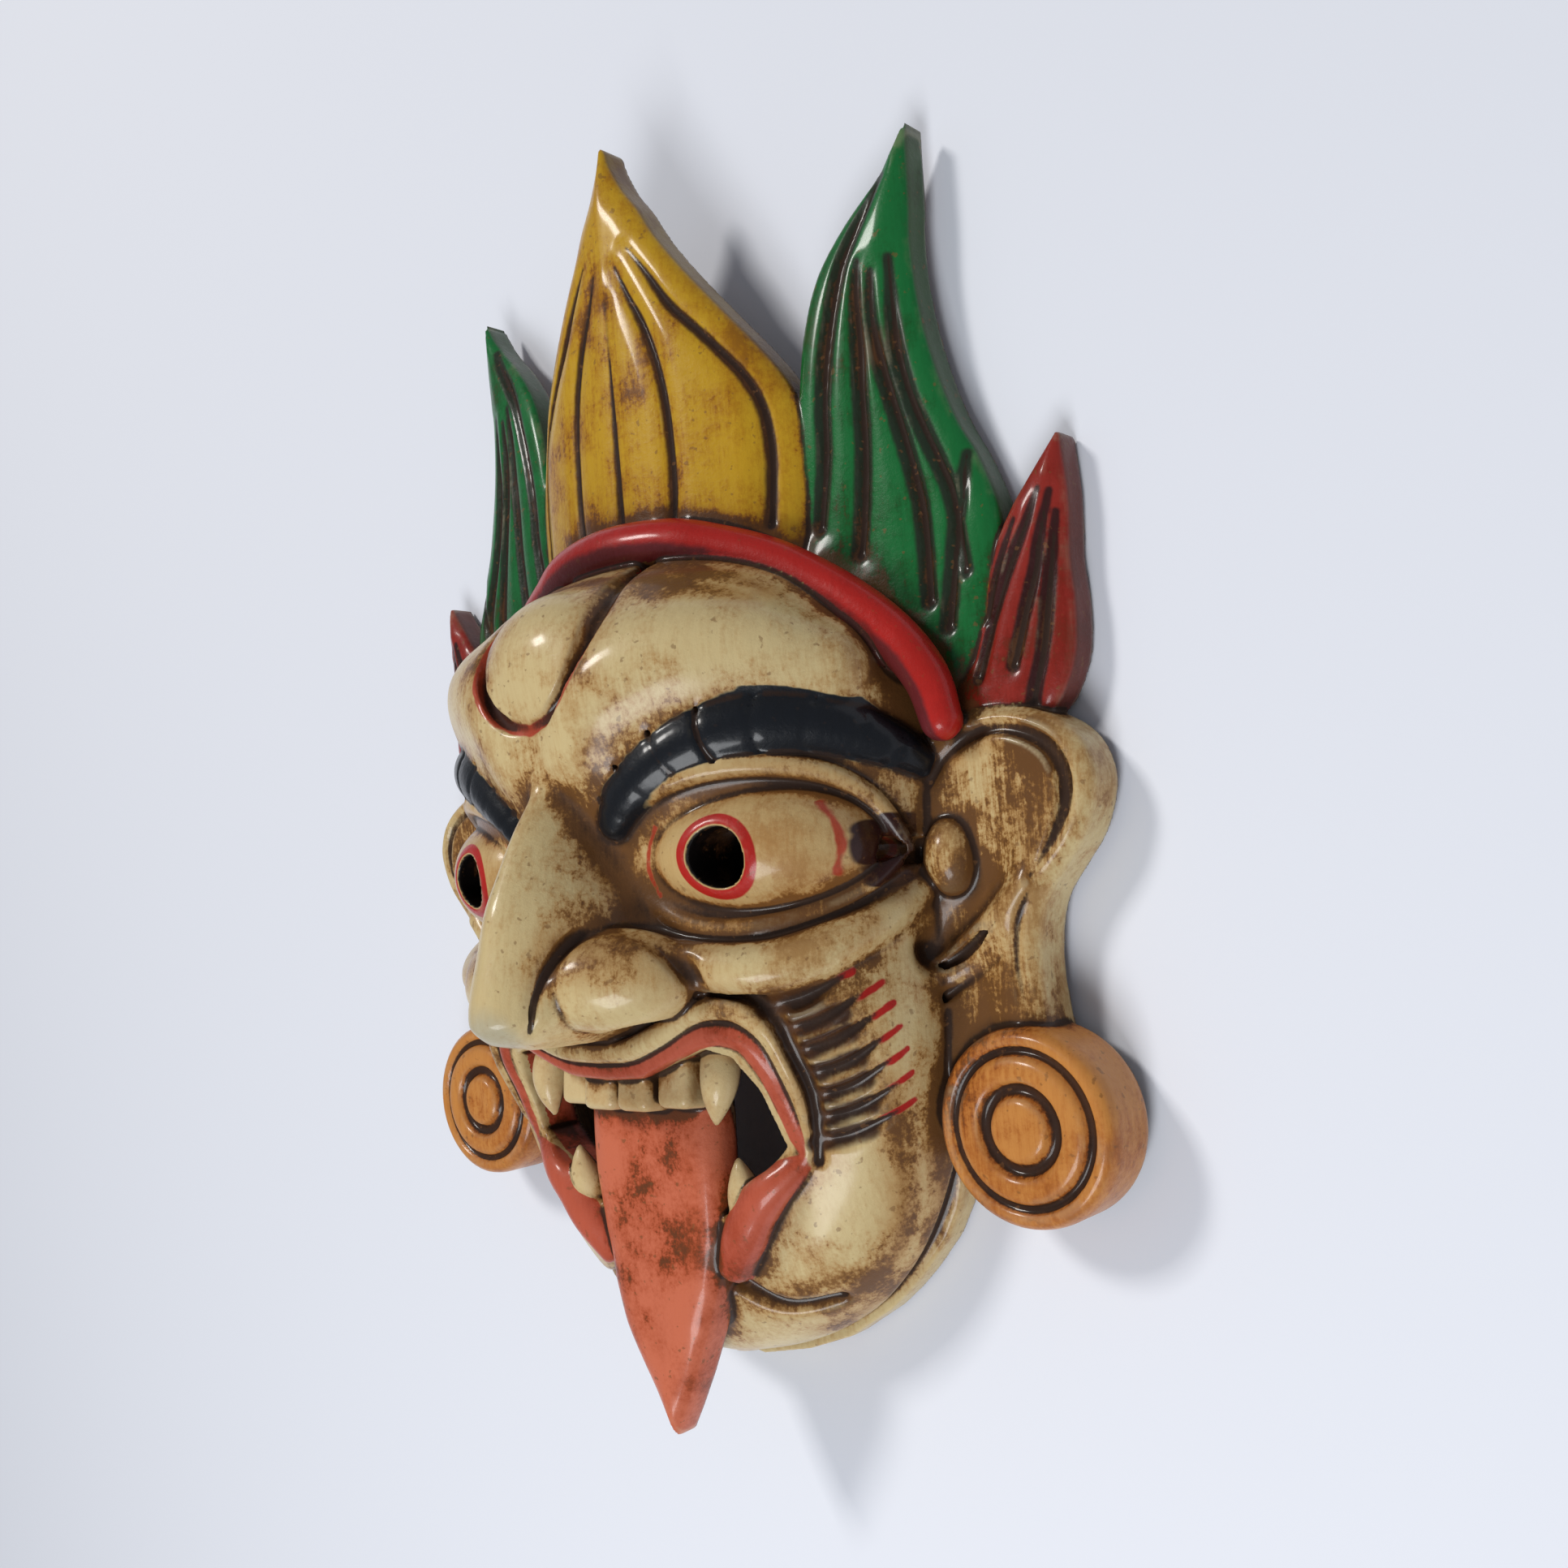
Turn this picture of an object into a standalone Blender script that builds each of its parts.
"""Carved and painted wooden mask of a fierce goddess, lying on its flat back with the face up.

X runs to the mask's own left, Y up the face to the crown, Z out of the face. The carving is one
piece of wood, so it is one solid. Shapes are given in millimetres for the left half and mirrored.
"""
import math

import bpy
import numpy as np
from mathutils import Euler, Matrix, Vector

MM = 0.001
COLLECTION = "mahakali_mask"
TRIANGLES = 9200
VOXEL = 1.35
FINE = 1.1
EDGE_ANGLE = math.radians(60)

# Head: at each station of Y, the height of the middle, the half width and the squareness of the curve.
HEAD_Y = (-183, -178, -170, -160, -145, -130, -115, -100, -85, -70, -50, -30, -10, 5, 20, 35, 48, 57, 64)
HEAD_TOP = (20, 31, 38, 44, 49, 52, 55, 60, 67, 72, 74, 75, 82, 87, 89, 87, 78, 64, 46)
HEAD_HALF = (8, 28, 46, 60, 73, 81, 86, 89, 91, 92, 92.5, 92.5, 93.5, 94, 91, 84, 73, 61, 48)
HEAD_POWER = (2.0, 2.1, 2.2, 2.3, 2.4, 2.5, 2.6, 2.7, 2.8, 2.6, 2.2, 2.0, 1.95, 1.88, 1.84, 1.9, 2.0, 2.0, 2.0)
BACK_LIFT = 2.0
WALL = 15.0
CLEAR = 3.0
HOLLOW_BOTTOM = -166.0
HOLLOW_TOP = 44.0

# Jaw flange behind the chin.
FLANGE = ((90, -84), (87, -112), (80, -135), (75, -144), (65, -155), (52, -167), (36, -177), (19, -183),
          (0, -187))
FLANGE_DEPTH = 10.0

# Crown: a curved plate cut to five flames. Fronts are heights of the plate at distances from the middle.
CROWN_X = (0, 20, 40, 57, 75, 97, 115, 134, 150)
CROWN_FRONT = (46, 43.5, 37, 28, 23.5, 19, 16.5, 13.5, 11)
CROWN_PLATE = 13.0
CROWN_BOTTOM = -6.0
CROWN_TIP = 200.5
MIDDLE_FLAME = ((0, CROWN_TIP), (3, 192), (12, 178), (16, 166), (27.5, 152), (44.5, 128),
                (54, 112), (58.5, 98),
                (59, 82), (57, 60), (50, 30))
INNER_FLAME = ((97, 179), (88.5, 167), (75.5, 154), (66, 141), (60.5, 126), (57.5, 109), (56, 90), (56, 66),
               (50, 30), (84, 0), (100, 0), (104, 16), (110, 31), (114, 46), (115.5, 61),
               (111, 76), (104, 92),
               (99, 110), (96.5, 125), (95.5, 142), (96.5, 158))
OUTER_FLAME = ((134, 79), (125, 68), (117, 56), (112, 44), (105, 20), (92, 4), (96, -6),
               (112, -4), (125, 2),
               (130.5, 8), (134.5, 18), (135.5, 31), (135, 44), (135.5, 61))
FLAME_GROOVE = 1.7
MIDDLE_GROOVES = (((0, 148), (0, 110), (0, 74)),
                  ((5, 158), (14, 137), (20, 112), (21, 74)),
                  ((10, 163), (24, 141), (38, 124), (49, 104), (49, 68)))
INNER_GROOVES = (((89, 165), (76, 143), (68.2, 115), (62, 65)),
                 ((80.5, 141), (79, 115), (74, 55)),
                 ((84.5, 137), (85, 111), (92.8, 73), (94, 38)),
                 ((90, 140), (90.4, 112), (100.7, 76), (105.2, 45)),
                 ((108, 78), (104, 57), (99, 30)))
OUTER_GROOVES = (((129, 63), (116.8, 38.6), (107, 14)),
                 ((132, 62), (126.5, 41), (118, 16)),
                 ((121, 56), (115.5, 44), (110, 30)))

# Head band under the crown: its path with the radius at each point.
BAND = ((0, 67.5, 50, 7.8), (22, 66, 46.5, 7.8), (37.5, 61.5, 41, 7.6), (52, 55.5, 36.5, 7.4),
        (66, 47, 33, 7.2),
        (79, 37, 30.5, 7.2), (89.5, 26.5, 28.5, 7), (97, 15, 27, 6.6), (100, 4, 26, 6))

# Brow, lids and the roll of skin under the eye: points with the rise over the head and the radius.
BROW = ((21, -16, 1, 5.5), (27, -9.5, 1, 6.5), (36, -2, 0, 7), (46, 3.5, -1, 7.5), (58, 6, -2, 7.5),
        (69, 5.8, -3, 7), (78, 2, -4, 6.5), (84.5, -2.5, -5, 5.5), (88.5, -7, -5, 4.5))
UPPER_LID = ((20, -27, -7, 3.2), (25, -17, -3, 3.4), (35, -10.5, -1.5, 3.4), (48, -7, -1, 3.4),
             (61, -6.6, -1, 3.4), (73, -9, -1, 3.3), (80.5, -15, -1, 3.2), (84.5, -23, 0, 3),
             (86.5, -31, 1, 2.6))
LOWER_LID = ((20, -28, -7, 3.2), (26, -38, -3.5, 3.2), (37, -45.5, -1.5, 3.2), (50, -48.8, -1, 3.2),
             (63, -47.5, -1, 3.2), (74, -43.5, -1, 3), (81, -38.5, -1, 2.8), (86.5, -31.5, 1, 2.6))
UNDER_EYE = ((26, -51, -2, 4), (36, -56, 0.5, 6.5), (50, -59.5, 1, 7.5), (63, -60, 1, 7.5), (74, -56, 0, 7),
             (83, -49.5, -2, 5.5), (89, -41, -4, 3.5))
EYEBALL = (52, -28, 46.5)
EYEBALL_RADII = (34, 21, 25.5)
EYEBALL_TURN = 31.0
EYE_HOLE = (53.6, -29.8)
EYE_HOLE_RADIUS = 8.3
EYE_HOLE_DEPTHS = (15, 95)

# Forehead drop that hangs from the band.
DROP = (0, 30, 70)
DROP_RADII = (28.5, 23, 22)

# Nose: at each station of Y, the height of the ridge and the half width where it leaves the face.
NOSE_Y = (-79, -76, -70, -61, -52, -41, -30, -18, -7, 2)
NOSE_TOP = (96, 108, 113.5, 112, 109.5, 107, 102, 95.5, 88, 84)
NOSE_HALF = (9, 15, 21, 26, 28, 25, 20, 15, 11, 9)
NOSE_POWER = (2.2, 2.1, 2.0, 1.8, 1.65, 1.6, 1.6, 1.6, 1.7, 1.8)
NOSE_FLOOR = 60.0
NOSE_ROOT = 4.0
NOSE_WING = (22, -61.5, 82)
NOSE_WING_RADII = (24, 14.5, 14)
NOSE_WING_TURN = 31.0
NOSTRIL = ((12, -84, 70, 4.5), (15, -72, 84, 3.2))

# Mouth: lips as points with rise and radius, openings as outlines.
UPPER_LIP = ((0, -85.5, 0.5, 6.5), (16, -84, 0.5, 6.2), (30, -78.5, 0, 5.8), (42, -74.5, -1, 5.6),
             (52, -77.5, -1.5, 5.6), (56.5, -86, -2, 5.6), (57.5, -97, -2, 5.4), (57.5, -107, -2, 5),
             (55.5, -114, -3, 4))
LOWER_LIP = ((55.5, -114, -3, 4), (48, -120, -2.5, 5.6), (40, -126.5, -2.5, 6.6), (31, -136, -2, 7),
             (24, -147, -2, 6.6))
MOUTH = ((0, -92), (14, -91), (27, -86), (38, -83.5), (46, -86.5), (50, -95), (51, -104), (52.5, -112),
         (45, -119), (36, -124.5), (27, -133), (12, -140), (0, -142))
MOUTH_DEPTHS = (20, 90)
# Each tooth: distance from the middle, width, height of its tip and how far it stands back.
TOOTH_TOP = -84.0
TOOTH_FRONT = 64.5
TOOTH_DEPTH = 7.5
TOOTH_LAP = 1.0
TEETH = ((7.2, 13.4, -101.5, 0.0), (21.3, 12.6, -100.5, 3.0))
UPPER_FANG = ((36, -83, 56, 6.5), (36.5, -91, 58, 6), (35.5, -98, 58.5, 4), (34.5, -103.5, 58.5, 1.5))
LOWER_FANG = ((33, -137, 44, 7), (33.5, -128, 48, 6), (34, -121.5, 50, 3.8), (34, -116.5, 51, 1.4))

# Tongue: outline and how thick it is.
TONGUE = ((0, -202.2), (5, -192), (11, -180), (17, -166), (22, -152), (25, -138), (26.5, -122), (27, -104),
          (26, -88))
TONGUE_FRONT = 54.0
TONGUE_THICK = 14.0
TONGUE_EDGE = 3.5

# Cheek furrows beside the mouth: both ends of each, and the fold that bounds them.
FURROWS = (((62, -72), (76, -65)), ((64.5, -78), (80, -68)), ((65.5, -84.5), (82, -74)),
           ((65.5, -91.5), (82.5, -81)), ((64.5, -97), (82.5, -87.5)), ((63, -103.5), (82, -94.5)),
           ((61, -110), (80, -103.5)))
FURROW_RADIUS = 1.7
CHEEK_FOLD = ((47, -66), (56, -67.5), (61.5, -74), (63.5, -84), (63.5, -96), (61.5, -107), (59, -116))
CHEEK_FOLD_RADIUS = 1.9
# The crease over the wing of the nose, as x, y, z and radius.
WING_FOLD = ((9.6, -73.6, 102.5, 1.4), (12.8, -63.9, 102.5, 2), (15, -55, 98, 2.3), (18, -48.5, 91.5, 2.5),
             (24, -45.5, 85.5, 2.6), (31, -46.5, 82.5, 2.8), (38, -51, 80, 2.8), (43.5, -58, 77.5, 2.8),
             (45, -66, 75, 2.6))
JAW_FOLD = ((83, -122, 12), (74, -141, 12), (61, -157, 12), (45, -169, 12), (25, -178, 12))
JAW_FOLD_RADIUS = 2.0

# Ear: outline, the groove inside its rim, the hollow beside the bump and the strokes on the lobe.
EAR = ((84, 1), (95, 5), (107, 6.5), (119, 4.6), (129.5, 0.2), (136.3, -5.8), (139.6, -14), (139.2, -21.5),
       (135.2, -31.5), (128, -40.5), (122.3, -48), (119.4, -58), (118.8, -70), (120, -82), (121, -92),
       (104, -97), (84, -93))
EAR_BACK = 3.0
EAR_FRONT = 21.0
EAR_EDGE = 4.5
EAR_GROOVE = ((92, -11), (103, -3), (113.5, -0.5), (122.5, -3), (129.5, -8), (133, -15.6), (132.5, -24),
              (128.5, -32.2), (122, -40.3))
EAR_GROOVE_RADIUS = 2.2
EAR_HOLLOW = ((91, -60, 24, 5), (100, -50, 24.5, 6.5), (108, -41, 24, 5.5), (112, -32, 25, 4.5))
EAR_STROKES = (((89, -72.3), (100, -68), (111, -61.8)), ((93, -63.5), (102, -56), (112, -47.5)))
TRAGUS = (95, -34.5, 20)
TRAGUS_RADII = (8.5, 11.5, 9)

# Earring: a turned disc with two ring grooves, as its profile of radius and height.
EARRING = (113.6, -108.1)
EARRING_PROFILE = ((0, 28.4), (9, 28), (9.6, 25.2), (12.2, 25.2), (12.8, 27.6), (19.2, 27), (19.8, 24.6),
                   (21.8, 24.4), (22.4, 26.2), (25.4, 25.4), (26.8, 23), (26.8, 6.5), (25, 3.5), (0, 3.5))

WOOD = (0.78, 0.70, 0.55, 1.0)


def clear_scene():
    """Empty the scene and give back the collections for the mask and its cutters."""
    for item in list(bpy.data.objects):
        bpy.data.objects.remove(item, do_unlink=True)
    kept = bpy.data.collections.new(COLLECTION)
    cutters = bpy.data.collections.new("cutters")
    bpy.context.scene.collection.children.link(kept)
    bpy.context.scene.collection.children.link(cutters)
    return kept, cutters


def smooth_table(stations, values):
    """Return a function of one number that runs smoothly through the table without overshoot."""
    x = np.array(stations, float)
    y = np.array(values, float)
    step = np.diff(x)
    slope = np.diff(y) / step
    tangent = np.zeros_like(y)
    tangent[0] = slope[0]
    tangent[-1] = slope[-1]
    for index in range(1, len(x) - 1):
        before, after = slope[index - 1], slope[index]
        if before * after > 0:
            tangent[index] = 2 * before * after / (before + after)

    def value(at):
        at = min(max(at, x[0]), x[-1])
        index = min(int(np.searchsorted(x, at, side="right")) - 1, len(step) - 1)
        t = (at - x[index]) / step[index]
        rise = (1 + 2 * t) * (1 - t) ** 2 * y[index] + t * t * (3 - 2 * t) * y[index + 1]
        return rise + step[index] * (t * (1 - t) ** 2 * tangent[index] - t * t * (1 - t) * tangent[index + 1])

    return value


head_top = smooth_table(HEAD_Y, HEAD_TOP)
head_half = smooth_table(HEAD_Y, HEAD_HALF)
head_power = smooth_table(HEAD_Y, HEAD_POWER)
nose_top = smooth_table(NOSE_Y, NOSE_TOP)
nose_half = smooth_table(NOSE_Y, NOSE_HALF)
nose_power = smooth_table(NOSE_Y, NOSE_POWER)
crown_front = smooth_table(CROWN_X, CROWN_FRONT)


def head_height(x, y):
    """Height of the plain head over the back plane at a point of the face."""
    across = min(abs(x) / head_half(y), 1.0)
    power = head_power(y)
    return BACK_LIFT + (head_top(y) - BACK_LIFT) * (1 - across ** power) ** (1 / power)


def add_mesh(name, points, faces, home):
    """Make an object from points in millimetres."""
    mesh = bpy.data.meshes.new(name)
    mesh.from_pydata([Vector(point) * MM for point in points], [], faces)
    mesh.update()
    item = bpy.data.objects.new(name, mesh)
    home.objects.link(item)
    return item


def bake(item):
    """Replace the object's mesh by the result of its modifiers, in place."""
    graph = bpy.context.evaluated_depsgraph_get()
    result = bpy.data.meshes.new_from_object(item.evaluated_get(graph))
    result.transform(item.matrix_world)
    home = item.users_collection[0]
    name = item.name
    bpy.data.objects.remove(item, do_unlink=True)
    fresh = bpy.data.objects.new(name, result)
    home.objects.link(fresh)
    return fresh


def mirrored(points):
    """The same points on the mask's other side."""
    return [(-point[0], *point[1:]) for point in points]


def whole_outline(half):
    """Close a half outline, given from one end of the middle line to the other, across the middle."""
    other = [(-x, y) for x, y in reversed(half) if abs(x) > 1e-9]
    return list(half) + other


def slab(name, outline, low, high, home):
    """A flat piece with the given outline between two heights."""
    count = len(outline)
    points = [(x, y, low) for x, y in outline] + [(x, y, high) for x, y in outline]
    sides = [(i, (i + 1) % count, count + (i + 1) % count, count + i) for i in range(count)]
    faces = [tuple(reversed(range(count))), tuple(range(count, 2 * count))] + sides
    item = add_mesh(name, points, faces, home)
    face_outwards(item)
    return item


def face_outwards(item):
    """Turn the faces of a closed mesh so that its volume is positive."""
    mesh = item.data
    volume = 0.0
    for face in mesh.polygons:
        corners = [mesh.vertices[index].co for index in face.vertices]
        for second, third in zip(corners[1:-1], corners[2:]):
            volume += corners[0].dot(second.cross(third))
    if volume < 0:
        mesh.flip_normals()


def tube(name, points, home):
    """A round rod along points of x, y, z and radius, with rounded ends."""
    curve = bpy.data.curves.new(name, "CURVE")
    curve.dimensions = "3D"
    curve.bevel_depth = MM
    curve.bevel_resolution = 3
    curve.resolution_u = 5
    curve.use_fill_caps = True
    spline = curve.splines.new("BEZIER")
    spline.bezier_points.add(len(points) - 1)
    for knot, (x, y, z, radius) in zip(spline.bezier_points, points):
        knot.co = Vector((x, y, z)) * MM
        knot.handle_left_type = knot.handle_right_type = "AUTO"
        knot.radius = radius
    item = bpy.data.objects.new(name, curve)
    home.objects.link(item)
    rod = bake(item)
    for end in (points[0], points[-1]):
        ball(name + "_end", end[:3], (end[3],) * 3, home, 12, 8)
    return rod


def ball(name, centre, radii, home, segments=32, rings=20, turn=0.0):
    """An ellipsoid, turned about the Y axis by degrees."""
    bpy.ops.mesh.primitive_uv_sphere_add(segments=segments, ring_count=rings, radius=MM)
    item = bpy.context.active_object
    item.name = name
    for old in list(item.users_collection):
        old.objects.unlink(item)
    home.objects.link(item)
    spin = Euler((0, math.radians(turn), 0)).to_matrix().to_4x4()
    item.data.transform(Matrix.Translation(Vector(centre) * MM) @ spin @ Matrix.Diagonal((*radii, 1)))
    return item


def on_head(points):
    """Turn points of x, y, rise and radius into points that follow the head."""
    return [(x, y, head_height(x, y) + rise, radius) for x, y, rise, radius in points]


def pair_of_tubes(name, points, home):
    """The same rod on both sides of the mask."""
    tube(name + "_left", points, home)
    tube(name + "_right", mirrored(points), home)


def arched_solid(name, stations, section, foot, floor, home):
    """A solid of arched sections along Y, where section(y) gives half width, top and squareness.

    The arches spring from the height foot and stand on straight sides down to the floor.
    """
    around = 36
    points = []
    for y in stations:
        half, top, power = section(y)
        for step in range(around + 1):
            angle = math.pi * step / around
            across = math.copysign(abs(math.cos(angle)) ** (2 / power), math.cos(angle))
            rise = math.sin(angle) ** (2 / power) if 0 < step < around else 0.0
            points.append((half * across, y, foot + (top - foot) * rise))
        points.append((-half, y, floor))
        points.append((half, y, floor))
    ring = around + 3
    faces = [tuple(range(ring)), tuple(reversed(range(len(points) - ring, len(points))))]
    for row in range(len(stations) - 1):
        for step in range(ring):
            near, far = row * ring + step, row * ring + (step + 1) % ring
            faces.append((near, near + ring, far + ring, far))
    item = add_mesh(name, points, faces, home)
    face_outwards(item)
    return item


def head_section(y):
    """Half width, top and squareness of the plain head."""
    return head_half(y), head_top(y), head_power(y)


def hollow_section(y):
    """The same for the hollow behind the face, inside the wall."""
    return max(head_half(y) - WALL, 2.0), max(head_top(y) - WALL, BACK_LIFT + 1), head_power(y)


def nose_section(y):
    """Half width, ridge and squareness of the nose."""
    return nose_half(y), nose_top(y), nose_power(y)


def modifier(item, kind, **settings):
    """Add one modifier and apply it."""
    change = item.modifiers.new(kind.lower(), kind)
    for key, value in settings.items():
        setattr(change, key, value)
    return bake(item)


def fuse(name, pieces, voxel, home):
    """Join overlapping solids into one skin."""
    with bpy.context.temp_override(active_object=pieces[0], selected_editable_objects=pieces, object=pieces[0]):
        bpy.ops.object.join()
    joined = pieces[0]
    joined.name = name
    joined.data.materials.clear()
    return modifier(joined, "REMESH", mode="VOXEL", voxel_size=voxel * MM)


def cut(item, cutter):
    """Take the cutter away from the solid."""
    result = modifier(item, "BOOLEAN", operation="DIFFERENCE", solver="EXACT", object=cutter)
    bpy.data.objects.remove(cutter, do_unlink=True)
    return result


def common(item, other):
    """Keep what both solids share."""
    result = modifier(item, "BOOLEAN", operation="INTERSECT", solver="EXACT", object=other)
    bpy.data.objects.remove(other, do_unlink=True)
    return result


def crown(home):
    """The five flames, cut from one curved plate."""
    half = [(x, crown_front(x)) for x in np.linspace(0, CROWN_X[-1], 16)]
    front = [(-x, z) for x, z in reversed(half[1:])] + half
    back = [(x, max(z - CROWN_PLATE, 0.0)) for x, z in reversed(front)]
    section = front + back
    count = len(section)
    points = [(x, CROWN_BOTTOM, z) for x, z in section] + [(x, CROWN_TIP + 5, z) for x, z in section]
    faces = [tuple(range(count)), tuple(reversed(range(count, 2 * count)))]
    faces += [(i, i + count, (i + 1) % count + count, (i + 1) % count) for i in range(count)]
    plate = add_mesh("plate", points, faces, home)
    face_outwards(plate)
    slab_low, slab_high = -5.0, 60.0
    flames = [slab("middle_flame", whole_outline(MIDDLE_FLAME), slab_low, slab_high, home)]
    for label, outline in (("inner", INNER_FLAME), ("outer", OUTER_FLAME)):
        flames.append(slab(label + "_left", outline, slab_low, slab_high, home))
        flames.append(slab(label + "_right", mirrored(outline), slab_low, slab_high, home))
    flames = fuse("flames", flames, VOXEL, home)
    return common(flames, plate)


def face_features(home):
    """Band, brows, lids, eyes, nose and lips, all standing on the head."""
    band = [*reversed(mirrored(BAND[1:])), *BAND]
    tube("band", band, home)
    ball("drop", DROP, DROP_RADII, home)
    rows = np.linspace(NOSE_Y[0], NOSE_Y[-1], 24)
    arched_solid("nose", rows, nose_section, NOSE_FLOOR, NOSE_FLOOR - NOSE_ROOT, home)
    for name, points in (("brow", BROW), ("upper_lid", UPPER_LID), ("lower_lid", LOWER_LID),
                         ("under_eye", UNDER_EYE), ("lower_lip", LOWER_LIP)):
        pair_of_tubes(name, on_head(points), home)
    lip = on_head(UPPER_LIP)
    tube("upper_lip", [*reversed(mirrored(lip[1:])), *lip], home)
    for side in (1, -1):
        eye, wing = (side * EYEBALL[0], *EYEBALL[1:]), (side * NOSE_WING[0], *NOSE_WING[1:])
        ball("eyeball", eye, EYEBALL_RADII, home, 40, 24, side * EYEBALL_TURN)
        ball("nose_wing", wing, NOSE_WING_RADII, home, turn=side * NOSE_WING_TURN)


def ears(home):
    """Both ears and the turned earrings under them."""
    for side in (1, -1):
        outline = [(side * x, y) for x, y in EAR]
        ear = slab("ear", outline, EAR_BACK, EAR_FRONT, home)
        modifier(ear, "BEVEL", width=EAR_EDGE * MM, segments=3, limit_method="ANGLE", angle_limit=EDGE_ANGLE)
        ball("tragus", (side * TRAGUS[0], *TRAGUS[1:]), TRAGUS_RADII, home, 20, 12)
        profile = add_mesh("earring", [(radius, 0, z) for radius, z in EARRING_PROFILE], [], home)
        profile.data.edges.add(len(EARRING_PROFILE) - 1)
        for index, edge in enumerate(profile.data.edges):
            edge.vertices = (index, index + 1)
        profile.data.update()
        turned = profile.modifiers.new("turn", "SCREW")
        turned.axis = "Z"
        turned.steps = turned.render_steps = 48
        turned.use_merge_vertices = True
        turned.merge_threshold = 0.00005
        profile.location = (side * EARRING[0] * MM, EARRING[1] * MM, 0)
        face_outwards(bake(profile))


def inner_mouth(home):
    """Tongue, teeth and fangs, which stand in the open mouth."""
    tongue = slab("tongue", whole_outline(TONGUE), TONGUE_FRONT - TONGUE_THICK, TONGUE_FRONT, home)
    modifier(tongue, "BEVEL", width=TONGUE_EDGE * MM, segments=3, limit_method="ANGLE", angle_limit=EDGE_ANGLE)
    for side in (1, -1):
        for middle, width, tip, back in TEETH:
            centre = (side * middle, (TOOTH_TOP + tip) / 2, TOOTH_FRONT - back - TOOTH_DEPTH)
            radii = (width / 2 + TOOTH_LAP, (TOOTH_TOP - tip) / 2 + TOOTH_LAP, TOOTH_DEPTH)
            ball("tooth", centre, radii, home, 20, 14)
    pair_of_tubes("upper_fang", UPPER_FANG, home)
    pair_of_tubes("lower_fang", LOWER_FANG, home)


def carving_tools(home):
    """The rods and tubes that carve furrows, folds and flame grooves and pierce the eyes."""
    def head_line(line, radius, rise):
        return [(x, y, head_height(x, y) + rise, radius) for x, y in line]

    def crown_line(line):
        ends = (0.6,) + (FLAME_GROOVE,) * (len(line) - 1)
        return [(x, y, crown_front(abs(x)) + 0.4, radius) for (x, y), radius in zip(line, ends)]

    for line in FURROWS:
        pair_of_tubes("furrow", head_line(line, FURROW_RADIUS, 0.4), home)
    pair_of_tubes("cheek_fold", head_line(CHEEK_FOLD, CHEEK_FOLD_RADIUS, 0.2), home)
    pair_of_tubes("jaw_fold", [(*point, JAW_FOLD_RADIUS) for point in JAW_FOLD], home)
    pair_of_tubes("wing_fold", WING_FOLD, home)
    pair_of_tubes("nostril", NOSTRIL, home)
    pair_of_tubes("ear_hollow", EAR_HOLLOW, home)
    for line in (EAR_GROOVE, *EAR_STROKES):
        pair_of_tubes("ear_groove", [(x, y, EAR_FRONT + 0.4, EAR_GROOVE_RADIUS) for x, y in line], home)
    for line in (*MIDDLE_GROOVES[1:], *INNER_GROOVES, *OUTER_GROOVES):
        pair_of_tubes("flame_groove", crown_line(line), home)
    tube("flame_groove", crown_line(MIDDLE_GROOVES[0]), home)
    low, high = EYE_HOLE_DEPTHS
    for side in (1, -1):
        bpy.ops.mesh.primitive_cylinder_add(vertices=32, radius=EYE_HOLE_RADIUS * MM, depth=(high - low) * MM)
        pupil = bpy.context.active_object
        centre = Vector((side * EYE_HOLE[0], EYE_HOLE[1], (low + high) / 2))
        pupil.data.transform(Matrix.Translation(centre * MM))
        move(pupil, home)


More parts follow.
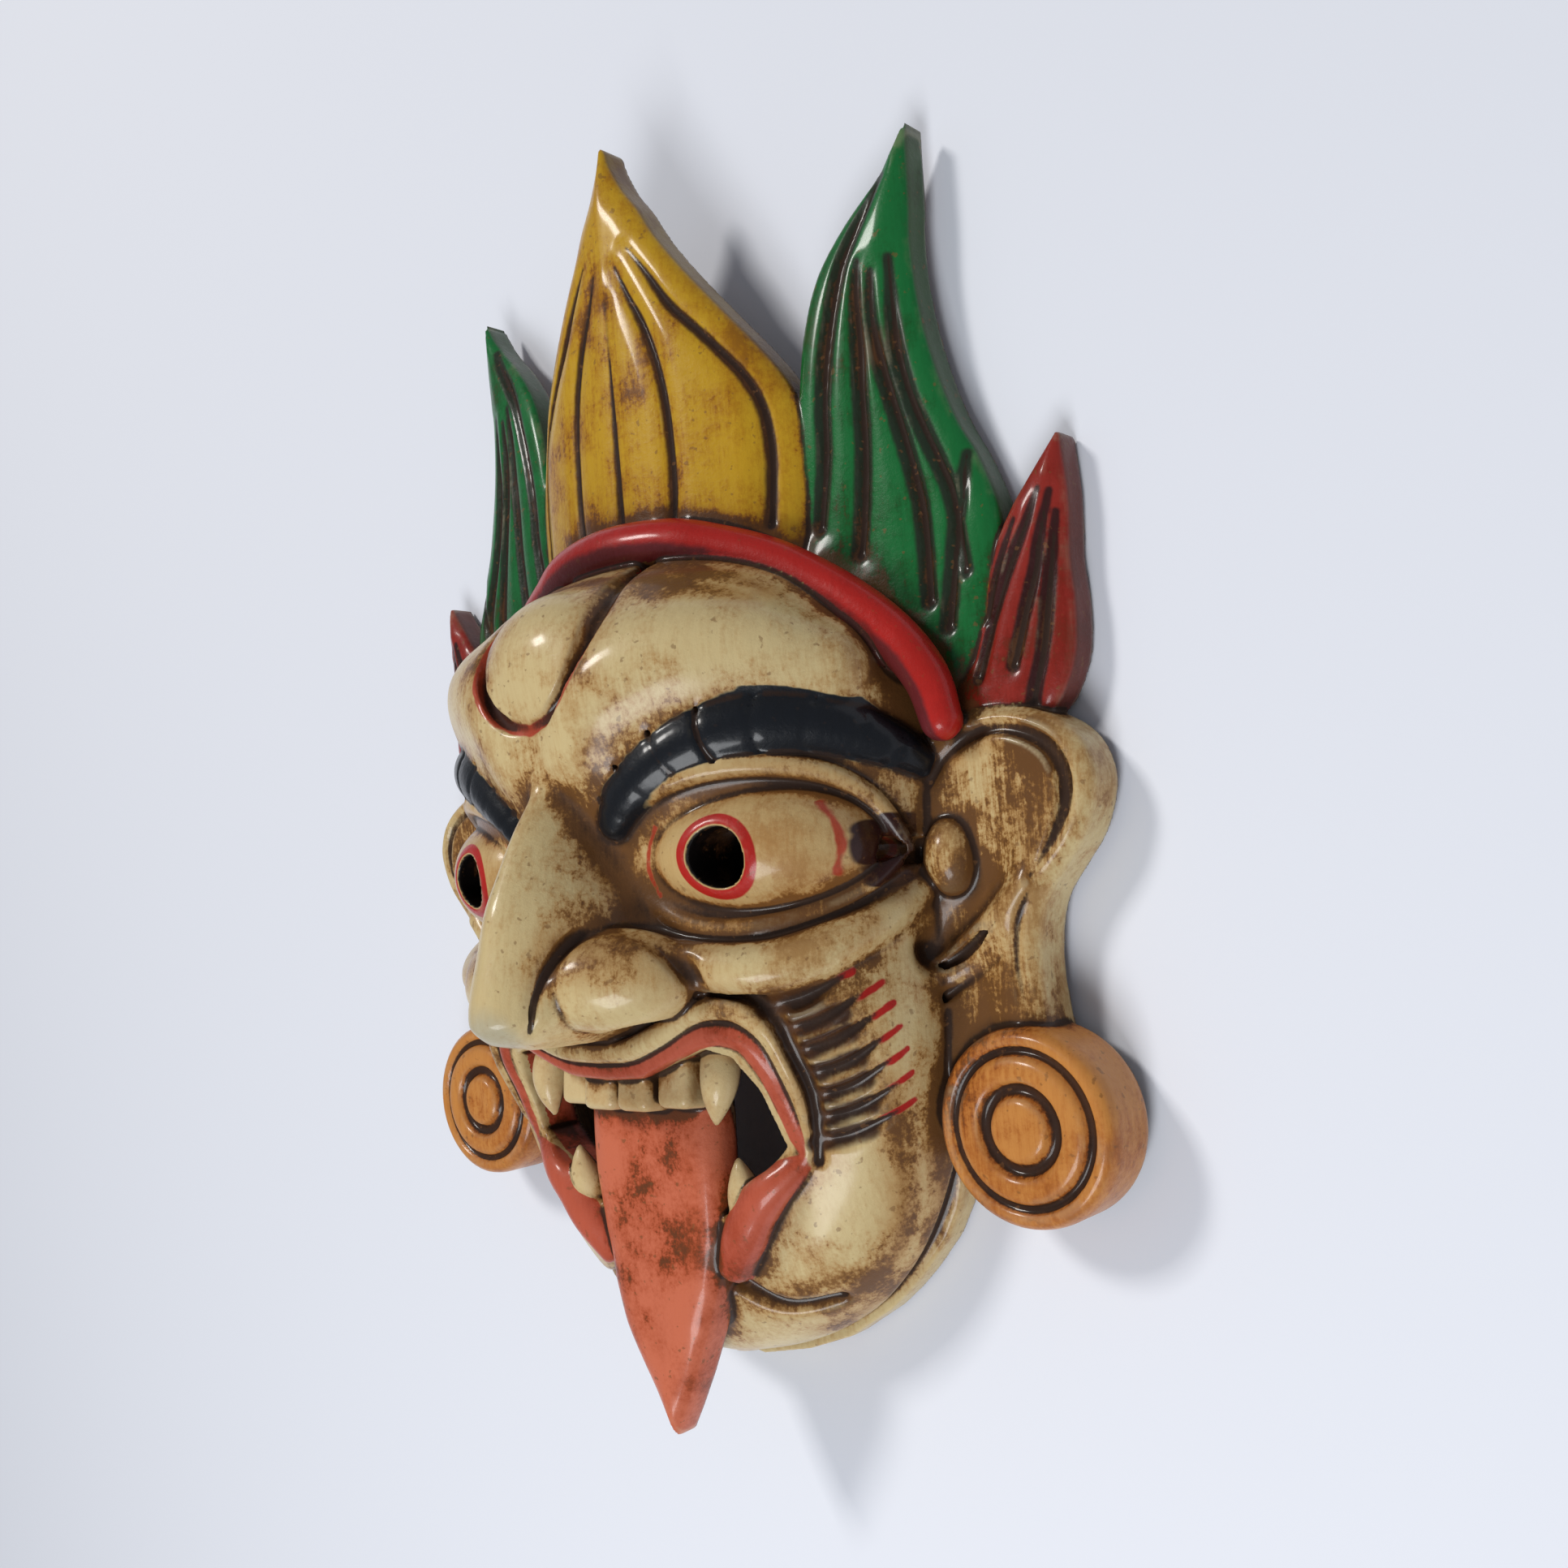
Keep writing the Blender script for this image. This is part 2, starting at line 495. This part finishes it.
def gathered(build):
    """Run one builder in a collection of its own and give back what it made."""
    home = bpy.data.collections.new("work")
    bpy.context.scene.collection.children.link(home)
    build(home)
    return home, list(home.objects)


def move(item, home):
    """Hand an object over to another collection."""
    for old in list(item.users_collection):
        old.objects.unlink(item)
    home.objects.link(item)


def carve(kept, cutters):
    """Fuse the forms, hollow and pierce them, and thin the mesh out."""
    def forms(home):
        arched_solid("head", np.linspace(HEAD_Y[0], HEAD_Y[-1], 44), head_section, BACK_LIFT, 0.0, home)
        slab("flange", whole_outline(FLANGE), 0.0, FLANGE_DEPTH, home)
        crown(home)
        face_features(home)
        ears(home)

    home, pieces = gathered(forms)
    mask = fuse("mask", pieces, VOXEL, home)
    rows = np.linspace(HOLLOW_BOTTOM, HOLLOW_TOP, 40)
    mask = cut(mask, arched_solid("hollow", rows, hollow_section, BACK_LIFT, -CLEAR, cutters))
    mask = cut(mask, slab("mouth", whole_outline(MOUTH), *MOUTH_DEPTHS, cutters))
    inner_home, inner = gathered(inner_mouth)
    for item in inner:
        move(item, home)
    mask = fuse("mask", [mask, *inner], VOXEL, home)
    tool_home, tools = gathered(carving_tools)
    mask = cut(mask, fuse("tools", tools, FINE, tool_home))
    mask = modifier(mask, "REMESH", mode="VOXEL", voxel_size=FINE * MM)
    mask = modifier(mask, "TRIANGULATE")
    mask = modifier(mask, "DECIMATE", ratio=TRIANGLES / len(mask.data.polygons))
    move(mask, kept)
    for work in (home, inner_home, tool_home):
        bpy.data.collections.remove(work)
    return mask


def paint(item):
    """One plain wood finish."""
    wood = bpy.data.materials.new("painted_wood")
    wood.use_nodes = True
    shader = wood.node_tree.nodes["Principled BSDF"]
    shader.inputs["Base Color"].default_value = WOOD
    shader.inputs["Roughness"].default_value = 0.4
    wood.diffuse_color = WOOD
    item.data.materials.clear()
    item.data.materials.append(wood)


def main():
    """Build the mask."""
    kept, cutters = clear_scene()
    mask = carve(kept, cutters)
    mask.name = mask.data.name = "mask"
    paint(mask)
    bpy.data.collections.remove(cutters)


main()
